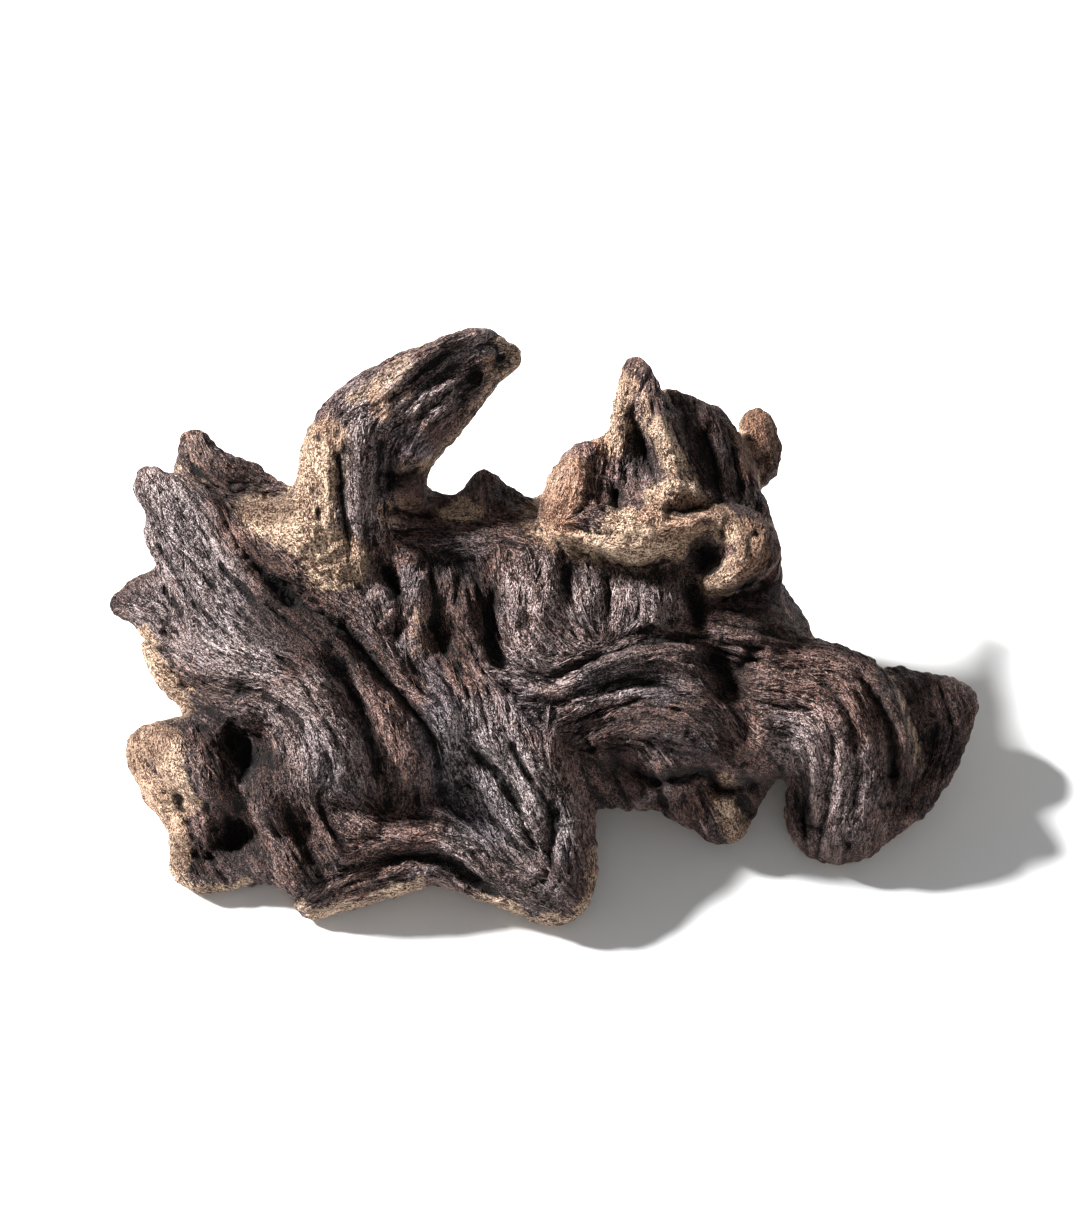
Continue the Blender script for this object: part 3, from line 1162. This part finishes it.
    def _strands(self, skin: Skin, face: np.ndarray) -> np.ndarray:
        """The height of the strands that the wood is made of.

        Args:
            skin: The skin.
            face: Its points on the face.

        Returns:
            The height in millimetres, which is negative in a furrow.
        """
        along = sum(
            grain.height * furrowed(self.fibres.streaks(face[:, :2], grain)) for grain in self.grains)
        along *= 1.0 - self._laid(skin, face, SOFT_PLACES)
        return along * (self.least_swell + self.swell.at(skin.points))

    def _laid(self, skin: Skin, face: np.ndarray, laid: tuple[Stroke, ...]) -> np.ndarray:
        """How strongly strokes lie on each point, with ragged edges.

        Args:
            skin: The skin.
            face: Its points on the face.
            laid: The strokes.

        Returns:
            The strength, from 0 to 1.
        """
        strength = np.zeros(len(face))
        ragged = clouds(self.tone_edge, skin.points)
        for stroke in laid:
            path = smooth_path(stroke.path, self.tone_step)
            near = reached(face[:, :2], path, self.tone_reach[0] * stroke.width + self.tone_reach[1])
            gap, _ = gap_to(face[near, :2], path)
            outer, inner = (share * stroke.width for share in self.tone_fade)
            held = stroke.amount * smoothstep(outer, inner, gap + ragged[near])
            strength[near] = np.maximum(strength[near], held)
        return strength

    def _paint(self, skin: Skin) -> None:
        """Writes the tones, the hollows and the fibres' run as point attributes.

        Args:
            skin: The finished skin.
        """
        face = self.face.to_face(skin.points)
        seen = self._seen(skin, face, self.painted_facing)
        deep = skin.sunken(self.deep_rounds)
        patches = clouds(self.patches, skin.points) - self.patch_sink * deep
        behind = {
            Tone.TAN: smoothstep(*self.back_tan, patches),
            Tone.RED: self.back_share * smoothstep(*self.back_red, patches),
            Tone.DARK: self.back_share * smoothstep(*self.back_dark, patches),
        }
        for tone in Tone:
            strength = self._laid(skin, face, TONE_STROKES[tone])
            skin.write(tone.value, seen * strength + (1.0 - seen) * behind.get(tone, 0.0))
        skin.write("deep_hollow", deep)
        skin.write("hollow", skin.sunken(self.hollow_rounds))
        skin.write("cut", seen * self._cut(skin, face))
        skin.write("furrow", self._strands(skin, face))
        skin.write("streak", self.fibres.streaks(face[:, :2], self.fleck_grain))
        run = self.fibres.direction(face[:, :2])
        run = np.column_stack((run, np.zeros(len(run)))) @ self.face.lean
        run -= skin.normals * (run * skin.normals).sum(axis=1)[:, None]
        skin.write("fibre_run", unit(run))


@dataclass
class LooseFibres:
    """Raised fibres that lie along the grain of the dark wood. Sizes are in millimetres."""

    face: LeaningFace
    fibres: FibreField
    name: str = "wood_fibres_1"
    seed: int = 71
    count: int = 9500
    shortest: float = 5.0
    longest: float = 22.0
    half_width: float = 0.38
    rise: float = 0.5
    sunk: float = 0.25
    taper: tuple[float, ...] = (0.2, 0.75, 1.0, 1.0, 0.8, 0.2)
    thickness: Span = (0.7, 1.3)
    first_stray: float = 0.16
    later_stray: float = 0.1
    most_tan: float = 0.45
    start_facing: float = 0.2
    least_facing: float = 0.12
    jump: float = 2.86
    above: float = 120.0
    shade: Span = (2.0, 3.0)

    def build(self, root: bpy.types.Object) -> bpy.types.Object:
        """Lays the fibres on the root's seen skin.

        Args:
            root: The finished skin, with its point attributes.

        Returns:
            The one piece that holds the fibres.
        """
        skin = Skin(root)
        draw = np.random.default_rng(self.seed)
        spots, normals, owners = self._drop(self._tracks(skin, draw), skin)
        depth = self.face.towards_eye(spots)
        kept = (owners >= 0).all(axis=1) & (np.abs(np.diff(depth, axis=1)).max(axis=1) < self.jump)
        kept &= self.face.towards_eye(normals).min(axis=1) > self.least_facing
        spots, normals, owners = spots[kept], normals[kept], owners[kept]
        piece = self._ribs(spots, normals, draw)
        made = Skin(piece)
        for name in SURFACE_VALUES:
            made.write(name, np.repeat(skin.take(name)[owners].ravel(), 3))
        made.write("streak", np.repeat(draw.normal(*self.shade, len(spots)), 3 * len(self.taper)))
        made.write("fibre_run", np.repeat(unit(np.gradient(spots, axis=1)).reshape(-1, 3), 3, axis=0))
        LOG.info("%s: %d fibres", piece.name, len(spots))
        return piece

    def _tracks(self, skin: Skin, draw: np.random.Generator) -> np.ndarray:
        """Draws the fibres' lines on the face.

        Args:
            skin: The finished skin.
            draw: The source of chance.

        Returns:
            The places (u, v) along each fibre.
        """
        good = self.face.towards_eye(skin.normals) > self.start_facing
        good &= skin.take(Tone.TAN.value) < self.most_tan
        starts = self.face.to_face(skin.points)[good, :2]
        steps = len(self.taper) - 1
        place = starts[draw.integers(0, len(starts), self.count)]
        place = place + draw.uniform(-1.0, 1.0, (self.count, 2))
        length = self.shortest + (self.longest - self.shortest) * draw.random(self.count) ** 2
        ahead = self.fibres.direction(place) * draw.choice((-1.0, 1.0), self.count)[:, None]
        stray = draw.normal(0.0, self.first_stray, self.count)
        track = [place]
        for _ in range(steps):
            ahead = self.fibres.onward(place, ahead)
            stray += draw.normal(0.0, self.later_stray, self.count)
            aside = np.column_stack((-ahead[:, 1], ahead[:, 0]))
            place = place + (ahead + stray[:, None] * aside) * (length / steps)[:, None]
            track.append(place)
        return np.stack(track, axis=1)

    def _drop(self, tracks: np.ndarray, skin: Skin) -> tuple[np.ndarray, np.ndarray, np.ndarray]:
        """Drops the fibres' places onto the skin along the eye's lines.

        Args:
            tracks: The places (u, v) along each fibre.
            skin: The finished skin.

        Returns:
            The millimetre points met, the skin's normals there, and a point of the skin beside
            each, which is -1 where no skin was met.
        """
        faces = skin.quads()
        tree = BVHTree.FromPolygons((skin.points * MM).tolist(), faces.tolist())
        flat = tracks.reshape(-1, 2)
        start, end = (
            self.face.to_row(np.column_stack((flat, np.full(len(flat), w)))) * MM
            for w in (self.above, -self.above))
        spots, normals = np.zeros((len(flat), 3)), np.zeros((len(flat), 3))
        owners = np.full(len(flat), -1)
        for i, (here, there) in enumerate(zip(start, end)):
            spot, normal, index, _ = tree.ray_cast(Vector(here), Vector(there - here))
            if index is not None:
                spots[i], normals[i], owners[i] = spot, normal, faces[index, 0]
        shape = tracks.shape[:2]
        return (spots / MM).reshape(*shape, 3), normals.reshape(*shape, 3), owners.reshape(shape)

    def _ribs(
        self, spots: np.ndarray, normals: np.ndarray, draw: np.random.Generator
    ) -> bpy.types.Object:
        """Builds each fibre as a small roof along its line.

        Args:
            spots: The points along each fibre.
            normals: The skin's normals there.
            draw: The source of chance.

        Returns:
            The piece.
        """
        side = unit(np.cross(np.gradient(spots, axis=1), normals))
        size = draw.uniform(*self.thickness, len(spots))[:, None, None]
        size = size * np.array(self.taper)[None, :, None]
        reach = side * self.half_width * size
        low_line = spots - normals * self.sunk
        top = spots + normals * self.rise * size
        points = np.stack((low_line - reach, top, low_line + reach), axis=2)
        base = np.arange(points[..., 0].size).reshape(points.shape[:3])
        low, high = base[:, :-1], base[:, 1:]
        slopes = [
            np.stack((low[..., i], high[..., i], high[..., i + 1], low[..., i + 1]), axis=-1).reshape(-1, 4)
            for i in (0, 1)]
        return built(self.name, points.reshape(-1, 3), np.concatenate(slopes))


class Shader:
    """A material's node tree, built a node at a time."""

    def __init__(self, name: str) -> None:
        """Starts a material.

        Args:
            name: The material's name.
        """
        self.material = bpy.data.materials.new(name)
        self.material.use_nodes = True
        self.tree = self.material.node_tree
        self.surface = self.tree.nodes["Principled BSDF"]

    def node(self, kind: str, **settings: object) -> bpy.types.Node:
        """Adds a node.

        Args:
            kind: The node's type.
            settings: Its properties.

        Returns:
            The node.
        """
        made = self.tree.nodes.new(kind)
        for name, value in settings.items():
            setattr(made, name, value)
        return made

    def feed(self, node: bpy.types.Node, **given: object) -> None:
        """Links sockets or sets values into a node's inputs.

        Args:
            node: The node.
            given: A socket or value for each input, by its name with _ for a space.
        """
        for name, value in given.items():
            self._set(node.inputs[name.replace("_", " ")], value)

    def _set(self, socket: bpy.types.NodeSocket, value: object) -> None:
        """Links a socket or sets a value into an input.

        Args:
            socket: The input.
            value: The socket or value.
        """
        if isinstance(value, bpy.types.NodeSocket):
            self.tree.links.new(value, socket)
        else:
            socket.default_value = value

    def point(self, name: str, output: str = "Fac") -> bpy.types.NodeSocket:
        """Reads a point attribute, as a number or as the output named."""
        return self.node("ShaderNodeAttribute", attribute_name=name).outputs[output]

    def math(self, operation: str, *values: object) -> bpy.types.NodeSocket:
        """Does one sum on numbers.

        Args:
            operation: The sum.
            values: What it is done on.

        Returns:
            The result.
        """
        made = self.node("ShaderNodeMath", operation=operation)
        for socket, value in zip(made.inputs, values):
            self._set(socket, value)
        return made.outputs[0]

    def times(self, value: object, factor: object) -> bpy.types.NodeSocket:
        """Multiplies two numbers."""
        return self.math("MULTIPLY", value, factor)

    def plus(self, *values: object) -> bpy.types.NodeSocket:
        """Adds numbers up."""
        return self._over("ADD", values)

    def most(self, *values: object) -> bpy.types.NodeSocket:
        """Takes the largest of some numbers."""
        return self._over("MAXIMUM", values)

    def _over(self, operation: str, values: tuple[object, ...]) -> bpy.types.NodeSocket:
        """Does one sum on the first two numbers, then on the result and the next, and so on.

        Args:
            operation: The sum.
            values: The numbers.

        Returns:
            The result.
        """
        result = values[0]
        for value in values[1:]:
            result = self.math(operation, result, value)
        return result

    def vector(self, operation: str, *values: object) -> bpy.types.NodeSocket:
        """Does one sum on vectors.

        Args:
            operation: The sum.
            values: What it is done on.

        Returns:
            The result, a number for a dot product and otherwise a vector.
        """
        made = self.node("ShaderNodeVectorMath", operation=operation)
        inputs = (made.inputs[0], made.inputs["Scale"]) if operation == "SCALE" else made.inputs
        for socket, value in zip(inputs, values):
            self._set(socket, value)
        return made.outputs["Value" if operation == "DOT_PRODUCT" else "Vector"]

    def mix(
        self, share: object, first: object, second: object, blend: str = "MIX"
    ) -> bpy.types.NodeSocket:
        """Mixes two colours or numbers.

        Args:
            share: How much of the second there is.
            first: The first.
            second: The second.
            blend: How the second is laid on the first.

        Returns:
            The mixture.
        """
        made = self.node("ShaderNodeMix", data_type="RGBA", blend_type=blend)
        for index, value in ((0, share), (6, first), (7, second)):
            self._set(made.inputs[index], value)
        return made.outputs[2]

    def coats(self, base: object, *coats: tuple[object, object]) -> bpy.types.NodeSocket:
        """Lays colours over a base one by one.

        Args:
            base: The base's colour.
            coats: How much there is of each coat, and its colour.

        Returns:
            The colour.
        """
        for share, colour in coats:
            base = self.mix(share, base, colour)
        return base

    def step(self, value: object, limits: Span) -> bpy.types.NodeSocket:
        """Rises smoothly from 0 to 1.

        Args:
            value: The number that is read.
            limits: Where the rise starts and ends; the first may be the larger.

        Returns:
            The number from 0 to 1.
        """
        low, high = sorted(limits)
        first, last = (0.0, 1.0) if limits[0] == low else (1.0, 0.0)
        made = self.node("ShaderNodeMapRange", interpolation_type="SMOOTHSTEP")
        self.feed(made, Value=value, From_Min=low, From_Max=high, To_Min=first, To_Max=last)
        return made.outputs[0]

    def noise(
        self, place: object, size: float, detail: float = 2.0, rough: float = 0.5
    ) -> bpy.types.NodeSocket:
        """Reads noise.

        Args:
            place: Where the surface is.
            size: How wide its blobs are, in metres.
            detail: How many finer layers it has.
            rough: How strong they are.

        Returns:
            The noise's value.
        """
        made = self.node("ShaderNodeTexNoise")
        self.feed(made, Vector=place, Scale=1.0 / size, Detail=detail, Roughness=rough)
        return made.outputs[0]


def paint(red: int, green: int, blue: int) -> Colour:
    """A colour from its screen values, from 0 to 255."""
    linear = [((c / 255 + 0.055) / 1.055) ** 2.4 for c in (red, green, blue)]
    return (*linear, 1.0)


@dataclass(frozen=True)
class Comb:
    """Noise drawn out along the fibres, patch by patch."""

    cell: float
    width: float
    squeeze: float
    rough: float = 0.55
    patch_jump: float = 5.0

    def value(self, shader: Shader, place: bpy.types.NodeSocket) -> bpy.types.NodeSocket:
        """Reads the noise.

        Args:
            shader: The material's nodes.
            place: Where the surface is.

        Returns:
            The noise's value.
        """
        patch = shader.node("ShaderNodeTexVoronoi")
        shader.feed(patch, Vector=place, Scale=1.0 / self.cell)
        offset = shader.vector("SUBTRACT", place, patch.outputs["Position"])
        run = shader.vector("NORMALIZE", shader.point("fibre_run", "Vector"))
        along = shader.times(shader.vector("DOT_PRODUCT", offset, run), self.squeeze - 1.0)
        local = shader.vector("ADD", offset, shader.vector("SCALE", run, along))
        jump = shader.vector("SCALE", patch.outputs["Color"], self.patch_jump)
        return shader.noise(shader.vector("ADD", local, jump), self.width, rough=self.rough)


@dataclass(frozen=True)
class WeatheredWood:
    """The wood's finish: dark fibres with pale flecks, worn to tan at its edges; sizes in metres."""

    deep: Colour = paint(18, 12, 10)
    ground: Colour = paint(86, 66, 61)
    fleck: Colour = paint(168, 140, 133)
    red_ground: Colour = paint(114, 76, 64)
    red_fleck: Colour = paint(190, 144, 126)
    blue_ground: Colour = paint(88, 80, 87)
    blue_fleck: Colour = paint(166, 158, 168)
    pale_ground: Colour = paint(108, 91, 89)
    pale_fleck: Colour = paint(212, 196, 194)
    tan_ground: Colour = paint(100, 66, 48)
    tan_fleck: Colour = paint(248, 216, 186)
    stain: Colour = paint(118, 102, 94)
    stain_share: float = 0.85
    dirt_share: float = 0.88
    dirt_steps: tuple[tuple[str, Span, float], ...] = (
        ("hollow", (0.1, 0.9), 1.0),
        ("deep_hollow", (0.4, 4.0), 0.7),
        ("cut", (-0.6, -6.0), 0.9),
        ("furrow", (-1.0, -2.6), 0.6),
    )
    worn_red_share: float = 0.6
    fine: Comb = Comb(0.011, 0.00055, 0.42)
    coarse: Comb = Comb(0.0176, 0.001, 0.14)
    broad: Comb = Comb(0.0264, 0.0036, 0.14)
    fine_share: float = 0.5
    streak_share: float = 0.02
    gain: float = 1.9
    crest_share: float = 0.035
    crack_width: float = 0.045
    crack_share: float = 0.24
    pore_size: float = 0.0022
    pore_share: float = 0.1
    pore_step: Span = (0.42, 0.34)
    grit_size: float = 0.001
    grit_share: float = 0.55
    patch_size: float = 0.028
    tint_size: float = 0.0028
    ragged_size: float = 0.006
    ragged_detail: float = 4.0
    ragged_rough: float = 0.65
    ragged_gain: float = 1.3
    combed_gain: float = 1.2
    tan_step: Span = (0.2, 0.85)
    tan_fleck_step: Span = (0.39, 0.57)
    ground_step: Span = (0.3, 0.48)
    fleck_step: Span = (0.44, 0.68)
    warm_steps: tuple[Span, Span] = ((0.42, 0.68), (0.5, 0.66))
    warm_shares: tuple[float, float] = (0.35, 0.45)
    cool_steps: tuple[Span, Span] = ((0.5, 0.3), (0.48, 0.34))
    cool_shares: tuple[float, float] = (0.3, 0.4)
    roughness: float = 0.88
    shine: float = 0.25
    bump_strength: float = 0.9
    bump_distance: float = 0.007
    grit_height: float = 0.5
    broad_height: float = 3.0

    def material(self) -> bpy.types.Material:
        """Builds the wood's material.

        Returns:
            The material, which reads the skin's point attributes.
        """
        shader = Shader("weathered_wood")
        place = shader.node("ShaderNodeTexCoord").outputs["Object"]
        coarse = self.coarse.value(shader, place)
        broad = self.broad.value(shader, place)
        grit = shader.noise(place, self.grit_size, rough=0.6)
        comb = self._comb(shader, place, coarse, broad)
        worn = self._worn(shader, shader.mix(1.0 - self.grit_share, grit, comb))
        colour = shader.mix(self._tan(shader, place, coarse), self._bark(shader, place, comb), worn)
        colour = shader.mix(shader.times(self._dirt(shader), self.dirt_share), colour, self.deep)
        stained = shader.times(shader.point(Tone.DARK.value), self.stain_share)
        colour = shader.mix(stained, colour, self.stain, "MULTIPLY")
        height = shader.plus(
            comb, shader.times(grit, self.grit_height), shader.times(broad, self.broad_height))
        bump = shader.node("ShaderNodeBump")
        shader.feed(bump, Strength=self.bump_strength, Distance=self.bump_distance, Height=height)
        shader.feed(shader.surface, Base_Color=colour, Roughness=self.roughness,
                    Specular_IOR_Level=self.shine, Normal=bump.outputs[0])
        return shader.material

    def _comb(self, shader: Shader, place: object, coarse: object, broad: object) -> bpy.types.NodeSocket:
        """How bright the wood's fibres are.

        Args:
            shader: The material's nodes.
            place: Where the surface is.
            coarse: The coarse fibres.
            broad: The broad strands, whose middle lines are cracks.

        Returns:
            About 0 in a gap and 1 on a crest.
        """
        fibres = shader.plus(
            shader.times(self.fine.value(shader, place), self.fine_share),
            shader.times(coarse, 1.0 - self.fine_share),
            shader.times(shader.point("streak"), self.streak_share))
        fibres = shader.math("MULTIPLY_ADD", fibres, self.gain, 0.5 - 0.5 * self.gain)
        fibres = shader.plus(fibres, shader.times(shader.point("furrow"), self.crest_share))
        from_middle = shader.math("ABSOLUTE", shader.math("SUBTRACT", broad, 0.5))
        crack = shader.step(from_middle, (self.crack_width, 0.0))
        pores = shader.step(shader.noise(place, self.pore_size, rough=0.6), self.pore_step)
        gaps = shader.most(shader.times(pores, self.pore_share), shader.times(crack, self.crack_share))
        return shader.math("SUBTRACT", fibres, gaps)

    def _tan(self, shader: Shader, place: object, coarse: object) -> bpy.types.NodeSocket:
        """How much of the surface is worn to tan, with ragged edges.

        Args:
            shader: The material's nodes.
            place: Where the surface is.
            coarse: The coarse fibres.

        Returns:
            The share from 0 to 1.
        """
        noise = shader.noise(place, self.ragged_size, self.ragged_detail, self.ragged_rough)
        ragged = shader.math("MULTIPLY_ADD", noise, self.ragged_gain, -0.5 * self.ragged_gain)
        combed = shader.math("MULTIPLY_ADD", coarse, self.combed_gain, -0.5 * self.combed_gain)
        return shader.step(shader.plus(shader.point(Tone.TAN.value), ragged, combed), self.tan_step)

    def _bark(self, shader: Shader, place: object, comb: object) -> bpy.types.NodeSocket:
        """The colour of the dark wood.

        Args:
            shader: The material's nodes.
            place: Where the surface is.
            comb: How bright the fibres are.

        Returns:
            The colour.
        """
        patches = shader.noise(place, self.patch_size)
        tint = shader.noise(place, self.tint_size, rough=0.6)
        tones = []
        for tone, steps, shares in (
            (Tone.RED, self.warm_steps, self.warm_shares),
            (Tone.BLUE, self.cool_steps, self.cool_shares),
        ):
            hints = [
                shader.times(shader.step(value, limits), share)
                for value, limits, share in zip((patches, tint), steps, shares)]
            tones.append(shader.most(shader.point(tone.value), shader.plus(*hints)))
        red, blue = tones
        pale = shader.point(Tone.PALE.value)
        ground = shader.coats(
            self.ground, (pale, self.pale_ground), (red, self.red_ground), (blue, self.blue_ground))
        fleck = shader.coats(
            self.fleck, (red, self.red_fleck), (blue, self.blue_fleck), (pale, self.pale_fleck))
        body, bright = shader.step(comb, self.ground_step), shader.step(comb, self.fleck_step)
        return shader.coats(self.deep, (body, ground), (bright, fleck))

    def _worn(self, shader: Shader, grain: object) -> bpy.types.NodeSocket:
        """The colour of the tan wood.

        Args:
            shader: The material's nodes.
            grain: The grit and fibres that its flecks follow.

        Returns:
            The colour.
        """
        worn = shader.mix(shader.step(grain, self.tan_fleck_step), self.tan_ground, self.tan_fleck)
        red = shader.times(shader.point(Tone.RED.value), self.worn_red_share)
        return shader.mix(red, worn, self.red_fleck, "MULTIPLY")

    def _dirt(self, shader: Shader) -> bpy.types.NodeSocket:
        """How much dirt lies in the cuts, furrows and hollows.

        Args:
            shader: The material's nodes.

        Returns:
            The share from 0 to 1.
        """
        return shader.most(*(
            shader.times(shader.step(shader.point(name), limits), share)
            for name, limits, share in self.dirt_steps))


class LampKind(Enum):
    """The kinds of lamp that the studio uses."""

    SUN = "SUN"
    AREA = "AREA"


@dataclass(frozen=True)
class Lamp:
    """One lamp that faces the root, with its place and width in metres."""

    name: str
    kind: LampKind
    place: tuple[float, float, float]
    power: float
    width: float = 0.0
    angle: float = 0.0
    aim: tuple[float, float, float] = (0.0, 0.0, 0.08)

    def hang(self) -> None:
        """Hangs the lamp."""
        light = bpy.data.lights.new(self.name, self.kind.value)
        light.energy = self.power
        if self.kind is LampKind.SUN:
            light.angle = self.angle
        else:
            light.size = self.width
        piece = placed(self.name, light)
        piece.location = self.place
        piece.rotation_euler = (Vector(self.aim) - Vector(self.place)).to_track_quat("-Z", "Y").to_euler()


@dataclass
class Studio:
    """The pale floor, the soft lights and the eye."""

    face: LeaningFace
    floor_colour: Colour = (0.82, 0.82, 0.82, 1.0)
    floor_roughness: float = 0.9
    floor_reach: float = 6.0
    key: Lamp = Lamp("key", LampKind.SUN, (-1.2, 0.4, 1.1), 15.8, angle=math.radians(10.0))
    fill: Lamp = Lamp("fill", LampKind.AREA, (0.2, -1.5, 1.6), 4.0, width=1.4)
    sky: float = 0.32
    backdrop: float = 1.0
    half_frame: float = 306.75
    sensor: float = 36.0
    nearest: float = 0.05
    farthest: float = 50.0

    def build(self) -> None:
        """Sets the floor, the lights and the eye."""
        self._floor()
        self.key.hang()
        self.fill.hang()
        self._air()
        self._camera()
        bpy.context.scene.view_settings.view_transform = "Standard"

    def _floor(self) -> None:
        """Lays the floor."""
        mesh = bpy.data.meshes.new("floor")
        reach = self.floor_reach
        corners = [(-reach, -reach, 0), (reach, -reach, 0), (reach, reach, 0), (-reach, reach, 0)]
        mesh.from_pydata(corners, [], [(0, 1, 2, 3)])
        shader = Shader("pale_floor")
        shader.feed(shader.surface, Base_Color=self.floor_colour, Roughness=self.floor_roughness)
        mesh.materials.append(shader.material)
        placed("floor", mesh)

    def _air(self) -> None:
        """Fills the air with a weak light, which the eye itself sees as white."""
        world = bpy.data.worlds.new("studio_air")
        bpy.context.scene.world = world
        world.use_nodes = True
        nodes, links = world.node_tree.nodes, world.node_tree.links
        sky = nodes["Background"]
        sky.inputs["Color"].default_value = (1.0, 1.0, 1.0, 1.0)
        strength = nodes.new("ShaderNodeMapRange")
        strength.inputs["To Min"].default_value = self.sky
        strength.inputs["To Max"].default_value = self.backdrop
        links.new(nodes.new("ShaderNodeLightPath").outputs["Is Camera Ray"], strength.inputs["Value"])
        links.new(strength.outputs[0], sky.inputs["Strength"])

    def _camera(self) -> None:
        """Sets the eye that sees the root as the photograph does."""
        lens = bpy.data.cameras.new("eye")
        lens.sensor_width = self.sensor
        lens.lens = 0.5 * self.sensor * self.face.eye_distance / self.half_frame
        lens.clip_start = self.nearest
        lens.clip_end = self.farthest
        turn = Matrix.Rotation(math.pi / 2 - self.face.elevation, 3, "X").to_quaternion()
        piece = placed("eye", lens)
        piece.matrix_world = Matrix.LocRotScale(self.face.eye(), turn, None)
        bpy.context.scene.camera = piece


def main() -> None:
    """Builds the root's looks around the frame."""
    logging.basicConfig(level=logging.INFO, format="%(name)s: %(message)s")
    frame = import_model()
    face = LeaningFace()
    fibres = FibreField()
    skin = RootSkin(face, fibres)
    whole = skin.build(frame["nodes"]["mopani_root"])
    loose = LooseFibres(face, fibres).build(whole)
    pieces = skin.split(whole)
    for piece in pieces:
        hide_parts("mopani_root")
    wood = WeatheredWood().material()
    for piece in (*pieces, loose):
        piece.data.materials.append(wood)
        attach(piece, "root")
        LOG.info("built %s", piece.name)
    Studio(face).build()
    LOG.info("set the studio")


if __name__ == "__main__":
    main()
